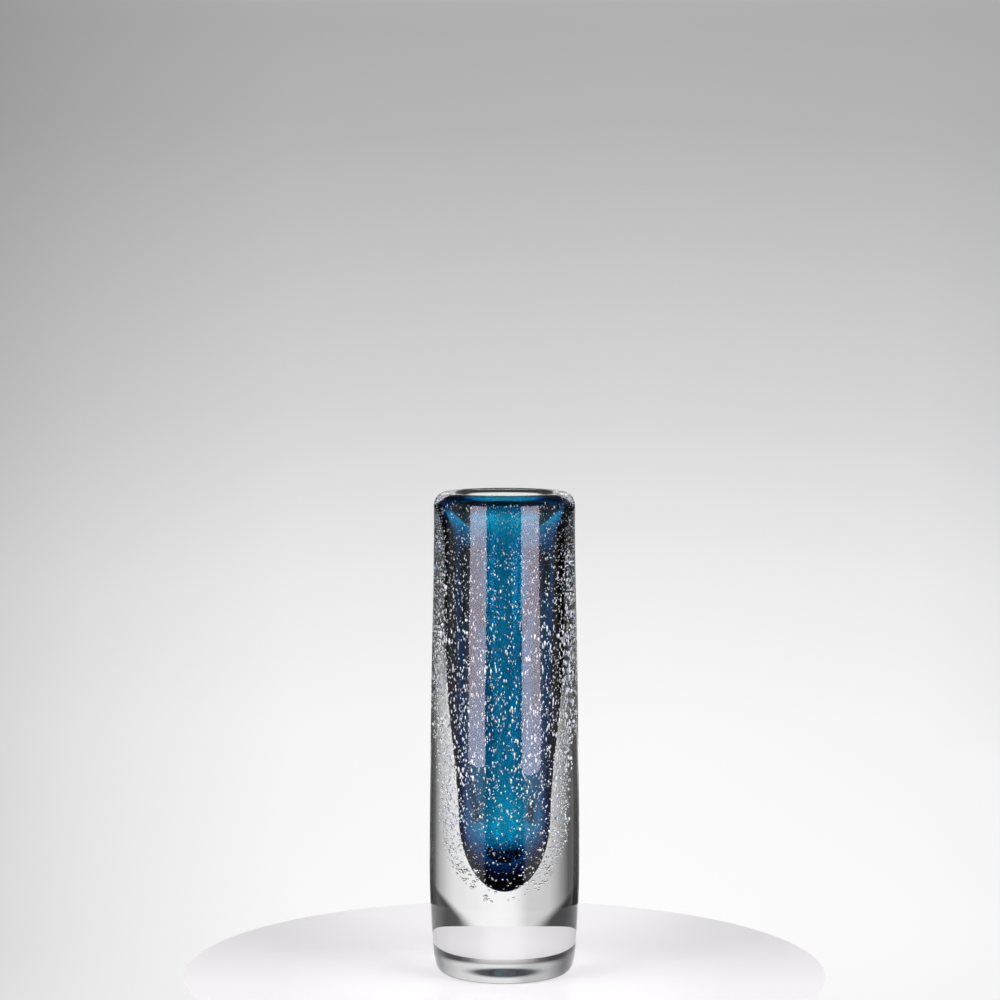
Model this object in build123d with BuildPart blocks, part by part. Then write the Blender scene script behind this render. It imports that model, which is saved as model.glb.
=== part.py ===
"""Hand-blown cased glass vase, 300 mm tall: five gathers of glass fused one over another.

Millimetres, +Z up, origin at the centre of the polished foot. Every gather is a solid of
revolution, drawn as a profile of radius and height on Plane.XZ. Two neighbouring gathers
share one surface, drawn by the same function, so they meet face to face with no gap.
"""

import os
from math import asin, cos, degrees

from build123d import *

# --- Driving dimensions: the outside -------------------------------------------------------
height = 300.0
foot_radius = 39.0  # flat polished disc that the vase stands on
heel_radius = 44.6  # where the rounded heel has turned into the wall
heel_height = 13.0
heel_lean = 0.07  # how fast the wall is still widening there, as radius over height
belly_radius = 47.0  # widest ring, low on the body
belly_height = 66.0
flank_radius = 45.7  # half-way between the belly and the shoulder
shoulder_radius = 43.8  # just under the lip
shoulder_depth = 8.5  # how far the outer rounding of the lip reaches down
crest_radius = 36.0  # highest ring of the lip

# --- Driving dimensions: the cavity --------------------------------------------------------
cavity_floor = 70.0  # glass under the cavity
nose_radius = 15.0  # where the rounded cavity bottom has turned into its wall
nose_top = 98.0
middle_radius = 19.3  # half-way up the straight stretch of the cavity
throat_radius = 20.4  # where the flare to the lip begins
flare_depth = 38.0  # how far under the lip's crest that is

# --- Driving dimensions: what each gather adds, at the side and under the cavity -----------
lining_wall = 2.2
lining_floor = 9.0
turquoise_wall = 1.3
turquoise_floor = 5.0
cobalt_wall = 1.0
cobalt_floor = 3.5
seeded_wall = 8.5
seeded_floor = 10.0
casing_lip = 3.8  # clear glass outside the seeded gather at the lip
overlay_setback = 6.0  # the overlays and the seeded gather stop this far under the crest

# --- Worked out from them ------------------------------------------------------------------
shoulder_height = height - shoulder_depth
throat_height = height - flare_depth
middle_height = (nose_top + throat_height) / 2
flank_height = (belly_height + shoulder_height) / 2
overlay_top = height - overlay_setback
flare_reach = crest_radius - throat_radius

# How far each gather's outer surface stands off the cavity wall, and how low it reaches.
lining_offset = lining_wall
turquoise_offset = lining_offset + turquoise_wall
cobalt_offset = turquoise_offset + cobalt_wall
seeded_offset = cobalt_offset + seeded_wall
lining_bottom = cavity_floor - lining_floor
turquoise_bottom = lining_bottom - turquoise_floor
cobalt_bottom = turquoise_bottom - cobalt_floor
seeded_bottom = cobalt_bottom - seeded_floor

upright = (0, 1)
quarter_round = 0.5523  # the handle, as a share of its radius, that makes a Bezier a quarter ellipse


def flare_turn(offset):
    """Degrees of its quarter ellipse that a gather's surface turns before the overlays stop."""
    return degrees(asin((overlay_top - throat_height) / (flare_depth - offset)))


def overlay_edge(offset):
    """Radius of a gather's surface at the height where the overlays stop."""
    turn = asin((overlay_top - throat_height) / (flare_depth - offset))
    return crest_radius - (flare_reach - offset) * cos(turn)


def cup_line(offset, bottom):
    """The surface at one offset from the cavity wall, from the axis below it up to the throat."""
    nose = nose_radius + offset
    nose_height = nose_top - bottom
    middle = middle_radius + offset
    throat = throat_radius + offset
    Bezier(
        (0, bottom),
        (quarter_round * nose, bottom),
        (nose, nose_top - quarter_round * nose_height),
        (nose, nose_top),
    )
    Spline(
        (nose, nose_top), (middle, middle_height), (throat, throat_height), tangents=[upright, upright]
    )


def flare_line(offset, turn):
    """The flare above the throat: part of a quarter ellipse centred under the lip's crest."""
    EllipticalCenterArc(
        (crest_radius, throat_height),
        flare_reach - offset,
        flare_depth - offset,
        start_angle=180,
        arc_size=-turn,
    )


def cavity_line():
    cup_line(0, cavity_floor)
    flare_line(0, 90)


def lining_line():
    cup_line(lining_offset, lining_bottom)
    flare_line(lining_offset, flare_turn(lining_offset))


def turquoise_line():
    cup_line(turquoise_offset, turquoise_bottom)
    flare_line(turquoise_offset, flare_turn(turquoise_offset))


def cobalt_line():
    cup_line(cobalt_offset, cobalt_bottom)
    flare_line(cobalt_offset, flare_turn(cobalt_offset))


def seeded_line():
    """The seeded gather's outside, which follows the shoulder and not the flare."""
    cup_line(seeded_offset, seeded_bottom)
    Spline(
        (throat_radius + seeded_offset, throat_height),
        (seeded_edge, overlay_top),
        tangents=[upright, upright],
    )


def lip_seam_line():
    """Where the lining and the casing are fused through the lip, above the overlays."""
    Line((lining_edge, overlay_top), (crest_radius, height))


def outer_line():
    """The outside, from the foot's centre up to the crest of the lip."""
    Line((0, 0), (foot_radius, 0))
    handle_height = quarter_round * heel_height
    Bezier(
        (foot_radius, 0),
        (foot_radius + quarter_round * (heel_radius - foot_radius), 0),
        (heel_radius - heel_lean * handle_height, heel_height - handle_height),
        (heel_radius, heel_height),
    )
    belly = (belly_radius, belly_height)
    flank = (flank_radius, flank_height)
    shoulder = (shoulder_radius, shoulder_height)
    Spline((heel_radius, heel_height), belly, tangents=[(heel_lean, 1), upright])
    Spline(belly, flank, shoulder, tangents=[upright, upright])
    EllipticalCenterArc(
        (crest_radius, shoulder_height),
        shoulder_radius - crest_radius,
        shoulder_depth,
        start_angle=0,
        arc_size=90,
    )


def top_edge_line(inner_radius, outer_radius):
    """The level top edge of a gather that stops inside the lip."""
    Line((inner_radius, overlay_top), (outer_radius, overlay_top))


def axis_line(low, high):
    """The stretch of the axis that closes a profile under the cavity."""
    Line((0, low), (0, high))


lining_edge = overlay_edge(lining_offset)
turquoise_edge = overlay_edge(turquoise_offset)
cobalt_edge = overlay_edge(cobalt_offset)
seeded_edge = shoulder_radius - casing_lip

# First gather: thin clear glass, blown out from the pipe. Its inside is the cavity wall.
with BuildPart() as inner_lining:
    with BuildSketch(Plane.XZ):
        with BuildLine():
            cavity_line()
            lip_seam_line()
            lining_line()
            axis_line(lining_bottom, cavity_floor)
        make_face()
    revolve(axis=Axis.Z)

# Second gather: transparent turquoise glass laid over the lining.
with BuildPart() as turquoise_overlay:
    with BuildSketch(Plane.XZ):
        with BuildLine():
            lining_line()
            top_edge_line(lining_edge, turquoise_edge)
            turquoise_line()
            axis_line(turquoise_bottom, lining_bottom)
        make_face()
    revolve(axis=Axis.Z)

# Third gather: a thinner coat of cobalt blue glass.
with BuildPart() as cobalt_overlay:
    with BuildSketch(Plane.XZ):
        with BuildLine():
            turquoise_line()
            top_edge_line(turquoise_edge, cobalt_edge)
            cobalt_line()
            axis_line(cobalt_bottom, turquoise_bottom)
        make_face()
    revolve(axis=Axis.Z)

# Fourth gather: clear glass full of fine air bubbles.
with BuildPart() as seeded_gather:
    with BuildSketch(Plane.XZ):
        with BuildLine():
            cobalt_line()
            top_edge_line(cobalt_edge, seeded_edge)
            seeded_line()
            axis_line(seeded_bottom, cobalt_bottom)
        make_face()
    revolve(axis=Axis.Z)

# Last gather: the thick clear casing with the heavy base, the polished foot and the lip.
with BuildPart() as outer_casing:
    with BuildSketch(Plane.XZ):
        with BuildLine():
            outer_line()
            lip_seam_line()
            top_edge_line(lining_edge, seeded_edge)
            seeded_line()
            axis_line(0, seeded_bottom)
        make_face()
    revolve(axis=Axis.Z)

inner_lining.part.label = "inner_lining"
turquoise_overlay.part.label = "turquoise_overlay"
cobalt_overlay.part.label = "cobalt_overlay"
seeded_gather.part.label = "seeded_gather"
outer_casing.part.label = "outer_casing"

os.makedirs("parts", exist_ok=True)
export_step(inner_lining.part, "parts/inner_lining.step")
export_step(turquoise_overlay.part, "parts/turquoise_overlay.step")
export_step(cobalt_overlay.part, "parts/cobalt_overlay.step")
export_step(seeded_gather.part, "parts/seeded_gather.step")
export_step(outer_casing.part, "parts/outer_casing.step")
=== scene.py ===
"""Hand-blown cased glass vase: five gathers of glass, fused, with a cloud of air bubbles in one of them.

Every gather is a lathe-turned shell. Faces that meet the air bend light as glass of index 1.5 does. Faces
where two gathers are fused bend nothing, because the glass runs on behind them. The turquoise and the cobalt
take their colour from the depth of glass that light crosses.
"""

import random
from math import cos, pi, radians, sin, tan, tau

import bpy
import numpy as np
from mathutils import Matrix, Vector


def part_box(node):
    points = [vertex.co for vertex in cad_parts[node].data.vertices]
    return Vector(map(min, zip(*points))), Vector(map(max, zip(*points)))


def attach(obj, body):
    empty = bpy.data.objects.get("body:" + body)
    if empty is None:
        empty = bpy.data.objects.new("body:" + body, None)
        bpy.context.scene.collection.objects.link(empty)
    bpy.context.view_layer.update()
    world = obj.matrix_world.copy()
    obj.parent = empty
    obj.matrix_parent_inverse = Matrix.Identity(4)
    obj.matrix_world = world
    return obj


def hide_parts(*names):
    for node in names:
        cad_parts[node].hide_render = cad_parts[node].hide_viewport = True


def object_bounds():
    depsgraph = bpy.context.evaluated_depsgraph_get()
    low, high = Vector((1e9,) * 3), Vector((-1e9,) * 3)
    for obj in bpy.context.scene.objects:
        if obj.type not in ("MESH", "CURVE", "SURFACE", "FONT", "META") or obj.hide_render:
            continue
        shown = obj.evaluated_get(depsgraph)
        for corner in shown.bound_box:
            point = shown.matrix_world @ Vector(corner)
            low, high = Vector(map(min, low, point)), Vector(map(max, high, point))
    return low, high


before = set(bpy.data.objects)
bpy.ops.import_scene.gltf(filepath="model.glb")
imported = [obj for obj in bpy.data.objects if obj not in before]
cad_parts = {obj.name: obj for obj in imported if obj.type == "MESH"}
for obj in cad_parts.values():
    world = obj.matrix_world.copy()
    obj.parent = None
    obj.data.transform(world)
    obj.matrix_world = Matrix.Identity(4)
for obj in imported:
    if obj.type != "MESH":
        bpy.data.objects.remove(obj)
cad_low, cad_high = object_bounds()

# --- Sizes in metres, as the CAD gathers have them -------------------------------------------
MM = 0.001
height = cad_high.z
belly_radius = cad_high.x
foot_radius = 39.0 * MM
heel_radius = 44.6 * MM
heel_height = 13.0 * MM
heel_lean = 0.07
belly_height = 66.0 * MM
flank_radius = 45.7 * MM
flank_lean = 0.5 * MM
shoulder_radius = 43.8 * MM
shoulder_height = height - 8.5 * MM
crest_radius = 36.0 * MM
cavity_floor = 70.0 * MM
nose_radius = 15.0 * MM
nose_top = 98.0 * MM
middle_radius = 19.3 * MM
throat_radius = 20.4 * MM
throat_height = height - 38.0 * MM
overlay_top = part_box("cobalt_overlay")[1].z

middle_height = (nose_top + throat_height) / 2
flank_height = (belly_height + shoulder_height) / 2

# How far a gather's outer surface stands off the cavity wall, and how low it reaches.
lining_offset, lining_bottom = 2.2 * MM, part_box("inner_lining")[0].z
turquoise_offset, turquoise_bottom = 3.5 * MM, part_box("turquoise_overlay")[0].z
cobalt_offset, cobalt_bottom = 4.5 * MM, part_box("cobalt_overlay")[0].z
seeded_offset, seeded_bottom = 13.0 * MM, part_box("seeded_gather")[0].z
seeded_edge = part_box("seeded_gather")[1].x
hair = 0.04 * MM  # gathers stand this far off each other, so no two faces coincide

quarter = 0.5523  # handle of a Bezier quarter round, as a share of its radius
turns = 160  # steps of the lathe
steps_per_knot = 22
merge_distance = 0.002 * MM


# --- Tools -----------------------------------------------------------------------------------
class Wire:
    """A shader socket that arithmetic works on."""

    def __init__(self, tree, socket):
        self.tree, self.socket = tree, socket

    @classmethod
    def node(cls, tree, kind, settings=None, *values, out=0, **named):
        """Adds a node, sets it up, feeds its sockets by order or by name, and returns one output."""
        made = tree.nodes.new(kind)
        for key, value in (settings or {}).items():
            if key == "stops":
                while len(made.color_ramp.elements) < len(value):
                    made.color_ramp.elements.new(1)
                for element, (place, level) in zip(made.color_ramp.elements, value):
                    element.position, element.color = place, (level, level, level, 1)
            else:
                setattr(made, key, value)
        for key, value in [*enumerate(values), *named.items()]:
            socket = made.inputs[key.replace("_", " ") if isinstance(key, str) else key]
            if isinstance(value, Wire):
                tree.links.new(value.socket, socket)
            else:
                socket.default_value = value
        return cls(tree, made.outputs[out]) if made.outputs else None

    def math(self, operation, *values):
        return self.node(self.tree, "ShaderNodeMath", {"operation": operation}, *values)

    def __add__(self, other):
        return self.math("ADD", self, other)

    __radd__ = __add__

    def __sub__(self, other):
        return self.math("SUBTRACT", self, other)

    def __rsub__(self, other):
        return self.math("SUBTRACT", other, self)

    def __mul__(self, other):
        return self.math("MULTIPLY", self, other)

    __rmul__ = __mul__

    def __truediv__(self, other):
        return self.math("DIVIDE", self, other)

    def __rtruediv__(self, other):
        return self.math("DIVIDE", other, self)


def clear_selection():
    if bpy.context.object and bpy.context.object.mode != "OBJECT":
        bpy.ops.object.mode_set(mode="OBJECT")
    bpy.ops.object.select_all(action="DESELECT")


def profile_points(knots):
    """Draws a Bezier curve through the knots and returns its points as (radius, height) rows.

    A knot is (radius, height, (in_dr, in_dz), (out_dr, out_dz)): the ends of its two handles.
    """
    clear_selection()
    bpy.ops.curve.primitive_bezier_curve_add(location=(0, 0, 0))
    curve = bpy.context.object
    spline = curve.data.splines[0]
    spline.bezier_points.add(len(knots) - len(spline.bezier_points))
    for point, (radius, z, before, after) in zip(spline.bezier_points, knots):
        point.handle_left_type = point.handle_right_type = "FREE"
        point.co = (radius, 0, z)
        point.handle_left = (radius + before[0], 0, z + before[1])
        point.handle_right = (radius + after[0], 0, z + after[1])
    spline.resolution_u = steps_per_knot
    bpy.ops.object.convert(target="MESH")
    points = np.array([(v.co.x, v.co.z) for v in curve.data.vertices])
    bpy.data.objects.remove(curve)
    return points


def lathe(name, points, materials):
    """Turns a closed profile of (radius, height) rows, from axis to axis, into a shell."""
    clear_selection()
    bpy.ops.mesh.primitive_plane_add(size=MM)
    piece = bpy.context.object
    piece.name = piece.data.name = name
    mesh = piece.data
    mesh.clear_geometry()
    rows = [(max(r, 0.0), 0.0, z) for r, z in points]
    mesh.from_pydata(rows, [(i, i + 1) for i in range(len(rows) - 1)], [])
    bpy.ops.object.mode_set(mode="EDIT")
    bpy.ops.mesh.select_all(action="SELECT")
    bpy.ops.mesh.spin(steps=turns, angle=tau, center=(0, 0, 0), axis=(0, 0, 1))
    bpy.ops.mesh.select_all(action="SELECT")
    bpy.ops.mesh.remove_doubles(threshold=merge_distance)
    bpy.ops.mesh.normals_make_consistent(inside=False)
    bpy.ops.object.mode_set(mode="OBJECT")
    for material in materials:
        mesh.materials.append(material)
    for face in mesh.polygons:
        face.use_smooth = True
    return piece


# --- Profiles --------------------------------------------------------------------------------
def cup_knots(offset, bottom, top_handle):
    """Knots of a gather's surface from the axis under the cavity up to the throat."""
    nose, middle, throat = nose_radius + offset, middle_radius + offset, throat_radius + offset
    reach = (middle_height - nose_top) / 3
    lean = reach * (throat - nose) / (throat_height - nose_top)
    return [
        (0, bottom, (0, 0), (quarter * nose, 0)),
        (nose, nose_top, (0, -quarter * (nose_top - bottom)), (0, reach)),
        (middle, middle_height, (-lean, -reach), (lean, reach)),
        (throat, throat_height, (0, -reach), (0, top_handle)),
    ]


def flared(offset, bottom):
    """A gather's surface from the axis under the cavity up and out to the crest of its flare."""
    depth = height - throat_height - offset
    reach = crest_radius - throat_radius - offset
    knots = cup_knots(offset, bottom, quarter * depth)
    knots.append((crest_radius, throat_height + depth, (-quarter * reach, 0), (0, 0)))
    return profile_points(knots)


def below(points, z):
    """The stretch of a rising profile that is under a height, ending on it."""
    kept = points[points[:, 1] < z]
    return np.vstack([kept, (np.interp(z, points[:, 1], points[:, 0]), z)])


cavity = flared(0, cavity_floor)
lining_out = below(flared(lining_offset, lining_bottom), overlay_top)
turquoise_in = below(flared(lining_offset + hair, lining_bottom - hair), overlay_top - hair)
turquoise_out = below(flared(turquoise_offset - hair, turquoise_bottom + hair), overlay_top - hair)
# The cobalt was drawn out with the bubble: full under it and round the middle, thin round the foot of
# the cavity and in a line under the mouth. Rows are (height in mm, share of the full thickness), and a
# share never reaches 0, because a shell with no thickness has no inside.
cobalt_share = np.array(
    [
        (58, 1.0), (66, 0.9), (75, 0.65), (88, 0.45), (100, 0.5), (120, 0.8), (150, 1.0), (200, 1.0),
        (240, 0.95), (266, 0.9), (276, 0.7), (283, 0.25), (287, 0.25), (290, 1.0), (300, 1.0),
    ]
)
cobalt_in = flared(turquoise_offset + hair, turquoise_bottom - hair)
cobalt_out = flared(cobalt_offset - hair, cobalt_bottom + hair)
cobalt_left = np.interp(cobalt_out[:, 1], cobalt_share[:, 0] * MM, cobalt_share[:, 1])[:, None]
cobalt_out = below(cobalt_in * (1 - cobalt_left) + cobalt_out * cobalt_left, overlay_top - hair)
cobalt_in = below(cobalt_in, overlay_top - hair)
seeded_in = below(flared(cobalt_offset, cobalt_bottom), overlay_top - hair)


def seeded_wall(inset, lift):
    """The outside of the seeded gather, moved in from its wall and its top and up from its bottom."""
    reach = (overlay_top - throat_height) / 3
    knots = cup_knots(seeded_offset - inset, seeded_bottom + lift, reach)
    return profile_points(knots + [(seeded_edge - inset, overlay_top - inset, (0, -reach), (0, 0))])


# Handles of the outer surface, from foot and heel to shoulder and crest
heel_round = quarter * heel_height
to_belly = (belly_height - heel_height) / 3
to_flank = (flank_height - belly_height) / 3
to_shoulder = (shoulder_height - flank_height) / 3
shoulder_round = quarter * (height - shoulder_height)
outside = profile_points(
    [
        (foot_radius, 0, (0, 0), (quarter * (heel_radius - foot_radius), 0)),
        (heel_radius, heel_height, (-heel_lean * heel_round, -heel_round), (heel_lean * to_belly, to_belly)),
        (belly_radius, belly_height, (0, -to_belly), (0, to_flank)),
        (flank_radius, flank_height, (flank_lean, -to_flank), (-flank_lean, to_flank)),
        (shoulder_radius, shoulder_height, (0, -to_shoulder), (0, shoulder_round)),
        (crest_radius, height, (quarter * (shoulder_radius - crest_radius), 0), (0, 0)),
    ]
)


# --- Materials -------------------------------------------------------------------------------
def new_material(name, shader, volume=None):
    """A material from two recipes, each a node's type and the values of its sockets."""
    material = bpy.data.materials.new(name)
    material.use_nodes = True
    tree = material.node_tree
    tree.nodes.clear()
    recipes = {"Surface": shader, "Volume": volume}
    parts = {end: Wire.node(tree, r[0], None, **r[1]) for end, r in recipes.items() if r}
    Wire.node(tree, "ShaderNodeOutputMaterial", None, **parts)
    return material


def glass(name, index, lost_per_metre=None):
    """Smooth glass. Coloured glass loses a share of the light per metre in red, green and blue."""
    clear = dict(Roughness=0, IOR=index, Transmission_Weight=1, Base_Color=(1, 1, 1, 1))
    surface = ("ShaderNodeBsdfPrincipled", clear)
    if not lost_per_metre:
        return new_material(name, surface)
    density = max(lost_per_metre)
    tint = (*[1 - lost / density for lost in lost_per_metre], 1)
    return new_material(name, surface, ("ShaderNodeVolumeAbsorption", dict(Color=tint, Density=density)))


glass_index = 1.5
seam_index = 1.0
clear_glass = glass("clear_glass", glass_index)
fused_seam = glass("fused_seam", seam_index)
turquoise_glass = glass("turquoise_glass", seam_index, (1500, 150, 40))
cobalt_glass = glass("cobalt_glass", seam_index, (2600, 1150, 850))
air = new_material("air_bubble", ("ShaderNodeBsdfGlass", dict(Roughness=0, IOR=1 / glass_index)))
# Light that meets the wall of a bubble at a slant is thrown back whole, so small ones look like silver.
glint = new_material(
    "air_bubble_glint",
    ("ShaderNodeBsdfPrincipled", dict(Base_Color=(0.97, 0.97, 0.97, 1), Metallic=1, Roughness=0.3)),
)

# --- The gathers -----------------------------------------------------------------------------
lining_glass = lathe(
    "inner_lining_glass",
    np.vstack([cavity, (lining_out[-1][0], overlay_top), lining_out[:-1][::-1]]),
    [clear_glass, fused_seam],
)
turquoise = lathe(
    "turquoise_overlay_glass", np.vstack([turquoise_in, turquoise_out[::-1]]), [turquoise_glass]
)
cobalt = lathe("cobalt_overlay_glass", np.vstack([cobalt_in, cobalt_out[::-1]]), [cobalt_glass])
seeded = lathe("seeded_gather_glass", np.vstack([seeded_in, seeded_wall(hair, hair)[::-1]]), [fused_seam])
casing = lathe(
    "outer_casing_glass",
    np.vstack([(0, 0), outside, (lining_out[-1][0] + hair, overlay_top), seeded_wall(0, 0)[::-1]]),
    [clear_glass, fused_seam],
)

face_tolerance = 0.4 * MM  # a face whose middle is this near a profile lies on it
point_tolerance = 0.1 * MM
floor_margin = 1 * MM
foot_margin = 0.5 * MM


def mark_seams(piece, is_air):
    """Gives faces that meet the air the first material of a piece, and fused faces the second."""
    for face in piece.data.polygons:
        face.material_index = 0 if is_air(face) else 1


def on_cavity(face):
    """Whether a face of the lining is part of the cavity's wall, where it meets the air."""
    radius, z = np.hypot(face.center.x, face.center.y), face.center.z
    under_the_floor = z <= cavity_floor - floor_margin
    return not under_the_floor and radius < np.interp(z, cavity[:, 1], cavity[:, 0]) + face_tolerance


def on_outside(face):
    """Whether a face of the casing is part of the vase's outside or its foot."""
    radius, z = np.hypot(face.center.x, face.center.y), face.center.z
    on_the_foot = z < foot_margin
    return on_the_foot or radius > np.interp(z, outside[:, 1], outside[:, 0]) - face_tolerance


mark_seams(lining_glass, on_cavity)
mark_seams(casing, on_outside)


def wander(around, z, swells):
    """A slow drift between 0 and 1 over a turned surface, from swells (waves round, waves up, phase)."""
    drift = sum(np.sin(ring * around + climb * tau * z / height + phase) for ring, climb, phase in swells)
    return 0.5 + 0.5 * drift / len(swells)


def draw_in(piece, depth, moved, swells):
    """Pulls part of a turned surface towards the axis by up to a depth, unevenly, as hand work leaves it."""
    mesh = piece.data
    places = np.empty(len(mesh.vertices) * 3)
    mesh.vertices.foreach_get("co", places)
    places = places.reshape(-1, 3)
    radius, z = np.hypot(places[:, 0], places[:, 1]), places[:, 2]
    around = np.arctan2(places[:, 1], places[:, 0])
    pull = depth * moved(radius, z) * wander(around, z, swells)
    places[:, :2] *= (1 - pull / np.maximum(radius, MM))[:, None]
    mesh.vertices.foreach_set("co", places.ravel())
    mesh.update()


# Where the drift fades out, as (height where it is nothing, height where it is full)
over_nose = (nose_top - 15 * MM, nose_top + 45 * MM)
under_flare = (throat_height + 25 * MM, throat_height - 30 * MM)
over_heel = (5 * MM, belly_height)
under_lip = (height, height - 60 * MM)


def eased(z, start, full):
    """0 at one height, 1 at another, with a soft start and a soft end."""
    share = np.clip((z - start) / (full - start), 0, 1)
    return share * share * (3 - 2 * share)


def above_the_nose(z):
    """1 along the straight wall of the cavity, easing to 0 under it and in the flare."""
    return eased(z, *over_nose) * eased(z, *under_flare)


def outer_skin(radius, z):
    at_wall = radius > np.interp(z, outside[:, 1], outside[:, 0]) - point_tolerance
    return at_wall * eased(z, *over_heel) * eased(z, *under_lip)


def cobalt_skin(radius, z):
    at_wall = radius > np.interp(z, cobalt_in[:, 1], cobalt_in[:, 0]) + point_tolerance / 2
    return at_wall * above_the_nose(z)


def cavity_skin(radius, z):
    at_wall = radius < np.interp(z, cavity[:, 1], cavity[:, 0]) + point_tolerance
    return at_wall * above_the_nose(z)


casing_drift, cobalt_drift, cavity_drift = 0.25 * MM, 0.3 * MM, 0.5 * MM
draw_in(casing, casing_drift, outer_skin, [(2, 1, 0.4), (3, -1, 2.0), (5, 2, 1.1), (1, 3, 4.0)])
draw_in(cobalt, cobalt_drift, cobalt_skin, [(9, 1, 0.2), (14, -2, 1.0), (23, 1, 2.6), (5, 3, 4.4)])
draw_in(lining_glass, cavity_drift, cavity_skin, [(2, 1, 3.4), (3, 2, 0.7), (1, -3, 1.9)])

# --- Air bubbles -----------------------------------------------------------------------------
random.seed(7)
bubble_count = 9200
clearance = 0.8 * MM  # bubbles keep this far inside their gather
size_spread = 0.35
thinning_at_wall = 1.1
least_stretch, most_stretch = 0.4, 1.6
# Bubbles near the cavity glint more often than those near the casing.
glint_inside, glint_lost = 1.35, 0.7
least_weight = 1e-5
# By height: how crowded the bubbles are, their radius, how long they are drawn, how hard they keep
# to the outside of their gather, and the share that glints.
crowding, size, stretch, outward, glinting = range(1, 6)
crowd = np.array(
    [
        (44 * MM, 0.05, 0.60 * MM, 1.0, 9.0, 0.0),
        (56 * MM, 0.09, 0.54 * MM, 1.0, 8.0, 0.0),
        (66 * MM, 0.5, 0.42 * MM, 1.1, 6.0, 0.15),
        (80 * MM, 1.0, 0.29 * MM, 1.3, 4.0, 0.4),
        (110 * MM, 1.1, 0.23 * MM, 2.4, 1.8, 0.65),
        (160 * MM, 1.0, 0.205 * MM, 3.7, 1.4, 0.7),
        (215 * MM, 1.0, 0.2 * MM, 3.5, 1.4, 0.7),
        (255 * MM, 1.1, 0.19 * MM, 2.2, 1.3, 0.7),
        (294 * MM, 1.2, 0.19 * MM, 1.3, 1.2, 0.7),
    ]
)
band_tops = {"low": 95 * MM, "middle": 140 * MM, "upper": 190 * MM, "high": 245 * MM, "top": height}


def bubble_template():
    """The corners and the faces of a bubble with a radius of 1."""
    clear_selection()
    bpy.ops.mesh.primitive_uv_sphere_add(segments=8, ring_count=5, radius=1)
    ball = bpy.context.object
    corners = np.array([tuple(v.co) for v in ball.data.vertices])
    faces = [tuple(f.vertices) for f in ball.data.polygons]
    bpy.data.objects.remove(ball)
    return corners, faces


def resample(points, rows=400):
    """Spreads a profile's points evenly along it."""
    along = np.concatenate([[0], np.cumsum(np.hypot(*np.diff(points, axis=0).T))])
    share = np.linspace(0, along[-1], rows)
    return np.column_stack([np.interp(share, along, points[:, k]) for k in (0, 1)])


def at_height(z, column):
    """One column of the crowd table, read at a height."""
    return np.interp(z, crowd[:, 0], crowd[:, column])


corners, faces = bubble_template()
inner_wall = below(flared(cobalt_offset + clearance, cobalt_bottom - clearance), overlay_top - clearance)
outer_wall = seeded_wall(clearance, 3 * clearance)
inner_wall, outer_wall = resample(inner_wall), resample(outer_wall)
middle_wall = (inner_wall + outer_wall) / 2
weights = list(middle_wall[:, 0] * at_height(middle_wall[:, 1], crowding) + least_weight)
meridian = np.gradient(middle_wall, axis=0)
meridian /= np.linalg.norm(meridian, axis=1)[:, None]

bands = {band: [] for band in band_tops}
for row in random.choices(range(len(middle_wall)), weights, k=bubble_count):
    lean = at_height(middle_wall[row, 1], outward)
    depth = random.betavariate(lean, thinning_at_wall)
    radius, z = inner_wall[row] * (1 - depth) + outer_wall[row] * depth
    across = at_height(z, size) * random.lognormvariate(0, size_spread)
    long = across * (1 + (at_height(z, stretch) - 1) * random.uniform(least_stretch, most_stretch))
    shines = random.random() < at_height(z, glinting) * (glint_inside - glint_lost * depth)
    band = next(name for name, top in band_tops.items() if z <= top)
    bands[band].append((radius, z, random.uniform(0, tau), across, long, *meridian[row], shines))

bubble_pieces = []
for band, bubbles in bands.items():
    radius, z, around, across, long, dr, dz, shines = np.array(bubbles).T[:, :, None]
    x, y, up = corners.T[:, None, :]
    # stand the bubble's long axis along the meridian, then swing it to its place
    out_r = radius + x * across * dz + up * long * dr
    out_z = z - x * across * dr + up * long * dz
    side = y * across
    place_x = out_r * np.cos(around) - side * np.sin(around)
    place_y = out_r * np.sin(around) + side * np.cos(around)
    place = np.stack([place_x, place_y, out_z], axis=-1).reshape(-1, 3)
    all_faces = [tuple(i + len(corners) * n for i in face) for n in range(len(bubbles)) for face in faces]
    mesh = bpy.data.meshes.new("air_bubbles_" + band)
    mesh.from_pydata(place.tolist(), [], all_faces)
    mesh.polygons.foreach_set("use_smooth", [True] * len(mesh.polygons))
    mesh.polygons.foreach_set("material_index", np.repeat(shines.astype(int).ravel(), len(faces)))
    mesh.materials.append(air)
    mesh.materials.append(glint)
    piece = bpy.data.objects.new("air_bubbles_" + band, mesh)
    bpy.context.scene.collection.objects.link(piece)
    bubble_pieces.append(piece)

# --- Hanging on the frame --------------------------------------------------------------------
for piece, cad_node, slot in (
    (lining_glass, "inner_lining", "clear_lining_glass"),
    (turquoise, "turquoise_overlay", "turquoise_glass"),
    (cobalt, "cobalt_overlay", "cobalt_glass"),
    (seeded, "seeded_gather", "seeded_glass"),
    (casing, "outer_casing", "clear_casing_glass"),
):
    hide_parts(cad_node)
    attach(piece, "root")
for piece in bubble_pieces:
    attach(piece, "root")

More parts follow.
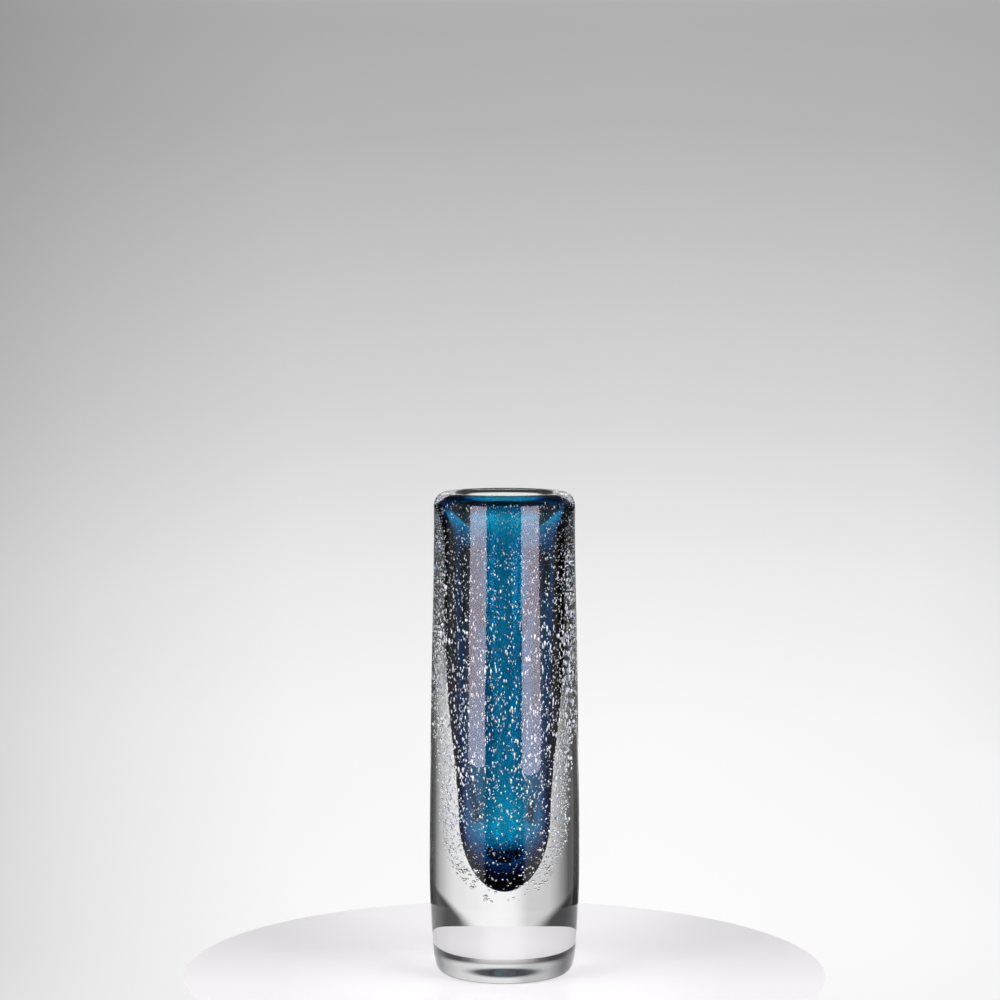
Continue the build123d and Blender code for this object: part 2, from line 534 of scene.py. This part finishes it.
# --- Floor, light, world, camera -------------------------------------------------------------
floor_radius = 0.2
floor_gap = 0.02 * MM
clear_selection()
bpy.ops.mesh.primitive_circle_add(
    vertices=256, radius=floor_radius, fill_type="NGON", location=(0, 0, -floor_gap)
)
floor = bpy.context.object
floor.name = "floor"
floor_paint = dict(
    Base_Color=(0.88, 0.88, 0.88, 1), Roughness=0.35, Emission_Color=(1, 1, 1, 1), Emission_Strength=0.25
)
floor.data.materials.append(new_material("pale_floor", ("ShaderNodeBsdfPrincipled", floor_paint)))


def softbox(name, azimuth, distance, half_angle, low, high, radiance, color=(1, 1, 1)):
    """A tall soft light. Azimuth is counted from the viewer's side, to the right."""
    bpy.ops.object.light_add(type="AREA")
    light = bpy.context.object
    light.name = name
    light.data.shape = "RECTANGLE"
    light.data.size = 2 * distance * tan(radians(half_angle))
    light.data.size_y = high - low
    light.data.energy = radiance * pi * light.data.size * light.data.size_y
    light.data.color = color
    a = radians(azimuth)
    light.location = (distance * sin(a), -distance * cos(a), (low + high) / 2)
    light.rotation_euler = (pi / 2, 0, a)
    light.visible_camera = False
    return light


main_light = dict(distance=1.3, low=-0.045, high=0.88, radiance=5.5, color=(1, 0.87, 1))
softbox("softbox_left", azimuth=-43, half_angle=14, **main_light)
softbox("softbox_right", azimuth=41.75, half_angle=15.25, **main_light)
# Two weaker lights, flagged off the outer skin, that the bubbles pick up through the glass
fill_light = dict(distance=1.6, half_angle=20, low=0.0, high=1.4, radiance=5.0)
for name, azimuth in (("fill_left", -64), ("fill_right", 64)):
    softbox(name, azimuth, **fill_light).visible_glossy = False

# Black cards a metre off, either side of the backdrop, which only the skin of the glass mirrors
card_azimuth, card_half_angle = 30, 20
card_middle, card_height = 0.05, 0.75
card_paint = new_material("black_card", ("ShaderNodeBsdfDiffuse", dict(Color=(0.01, 0.01, 0.01, 1))))
for side in (-1, 1):
    clear_selection()
    a = radians(card_azimuth * side)
    bpy.ops.mesh.primitive_plane_add(
        size=1, location=(sin(a), cos(a), card_middle), rotation=(pi / 2, 0, -a)
    )
    card = bpy.context.object
    card.name = "black_card_right" if side > 0 else "black_card_left"
    card.scale = (2 * tan(radians(card_half_angle)), card_height, 1)
    card.data.materials.append(card_paint)
    card.visible_camera = card.visible_diffuse = card.visible_transmission = card.visible_shadow = False

# The studio round the vase, as (degrees from straight behind it, to the right; brightness): below
# the line where the sweep begins, and above it
low_ring = [
    (-180, 0.03), (-152, 0.03), (-147, 1.1), (-122, 1.1), (-112, 0.35), (-100, 0.55), (-82, 0.55),
    (-72, 0.05), (-60, 0.06), (-47, 0.11), (-36, 0.35), (-26, 0.6), (-12, 0.62), (-8, 0.82), (-4, 0.95),
    (3, 0.98), (9, 0.95), (14, 0.88), (31, 0.8), (40, 0.62), (48, 0.5), (60, 0.14), (70, 0.05), (82, 0.05),
    (92, 0.55), (112, 0.35), (122, 1.1), (147, 1.1), (152, 0.03), (180, 0.03),
]
high_ring = [
    (-180, 0.03), (-152, 0.03), (-147, 1.1), (-122, 1.1), (-112, 0.35), (-100, 0.55), (-82, 0.55),
    (-72, 0.03), (-40, 0.006), (-28, 0.03), (-20, 0.15), (-12, 0.62), (-8, 0.82), (-4, 0.95), (3, 0.98),
    (9, 0.95), (12.5, 0.8), (20, 0.25), (28, 0.05), (40, 0.02), (50, 0.08), (65, 0.08), (70, 0.03),
    (82, 0.03), (92, 0.55), (112, 0.35), (122, 1.1), (147, 1.1), (152, 0.03), (180, 0.03),
]
# and how that brightness fades with height, as (sine of the elevation, share)
fade = [
    (-0.21, 1.0), (-0.15, 0.97), (-0.1, 0.88), (-0.04, 0.7), (0.0, 0.61), (0.06, 0.48), (0.1, 0.44),
    (0.15, 0.8), (0.3, 0.8), (0.5, 0.15), (1.0, 0.1),
]
# Sines of elevation between which one part of the studio gives way to the next
sweep_begins = (-0.16, -0.152)
sweep_ends = (0.05, 0.1)
table_below = (-0.3, -0.215)
table_dark = (-0.62, -0.54)
table_glow = 0.88
dark_loss = 0.95

world = bpy.data.worlds.new("studio")
bpy.context.scene.world = world
world.use_nodes = True
tree = world.node_tree
tree.nodes.clear()
direction = Wire.node(tree, "ShaderNodeTexCoord")
x, y, z = (Wire.node(tree, "ShaderNodeSeparateXYZ", None, direction, out=k) for k in range(3))
azimuth = Wire.node(tree, "ShaderNodeMath", {"operation": "ARCTAN2"}, x, y) / tau + 0.5
low_level, high_level = (
    Wire.node(tree, "ShaderNodeValToRGB", {"stops": [(0.5 + a / 360, v) for a, v in ring]}, azimuth)
    for ring in (low_ring, high_ring)
)


def soft_step(limits, under, over):
    """One value under the first sine of elevation, another over the second, and smooth between them."""
    settings = {"interpolation_type": "SMOOTHSTEP"}
    return Wire.node(tree, "ShaderNodeMapRange", settings, z, *limits, under, over)


on_sweep = soft_step(sweep_begins, 0, 1) * soft_step(sweep_ends, 1, 0)
level = low_level + on_sweep * (high_level - low_level)
share = Wire.node(tree, "ShaderNodeValToRGB", {"stops": [(0.5 + h / 2, v) for h, v in fade]}, z * 0.5 + 0.5)
down = soft_step(table_below, 1, 0)
deep = soft_step(table_dark, 1, 0)
glow = level * share * (1 - down) + table_glow * (down - dark_loss * deep)
background = Wire.node(tree, "ShaderNodeBackground", None, (1, 1, 1, 1), glow)
Wire.node(tree, "ShaderNodeOutputWorld", None, background)

camera_place = (-2.8 * MM, -1.75, 0.4205)
looks_down = radians(4.108)
bpy.ops.object.camera_add(location=camera_place, rotation=(pi / 2 - looks_down, 0, 0))
camera = bpy.context.object
camera.data.lens = 101.9
camera.data.sensor_width = 36
bpy.context.scene.camera = camera

scene = bpy.context.scene
scene.view_settings.view_transform = "Standard"
scene.cycles.max_bounces = 64
scene.cycles.transmission_bounces = 64
scene.cycles.glossy_bounces = 16
scene.cycles.transparent_max_bounces = 64
